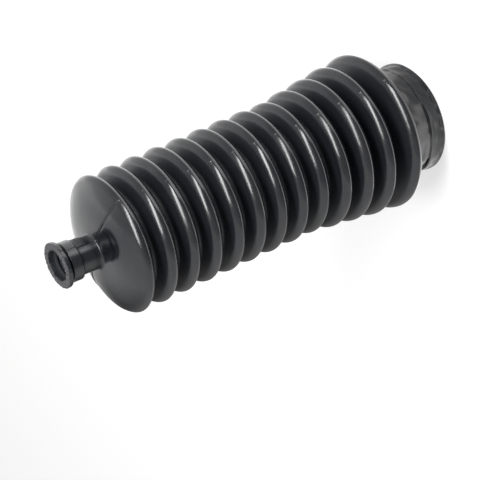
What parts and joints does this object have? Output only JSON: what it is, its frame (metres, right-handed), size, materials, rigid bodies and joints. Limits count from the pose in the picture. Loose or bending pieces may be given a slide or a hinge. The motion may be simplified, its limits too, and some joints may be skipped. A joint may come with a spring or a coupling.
{
  "type": "steering rack boot",
  "caption": "Black rubber steering rack bellows with a narrow flanged neck at one end and a wide clamp cuff at the other.",
  "frame": {"origin": "centre of the cuff's mouth, on the surface that the boot stands on", "axes": "+Z along the axis of the bellows, from the cuff up to the neck; the mould's parting plane is the YZ plane"},
  "size_m": [0.0746, 0.0746, 0.1913],
  "materials": {
    "moulded_rubber": "semi-gloss black, moulded"
  },
  "bodies": {
    "root": {"boot": "moulded_rubber"}
  },
  "joints": []
}
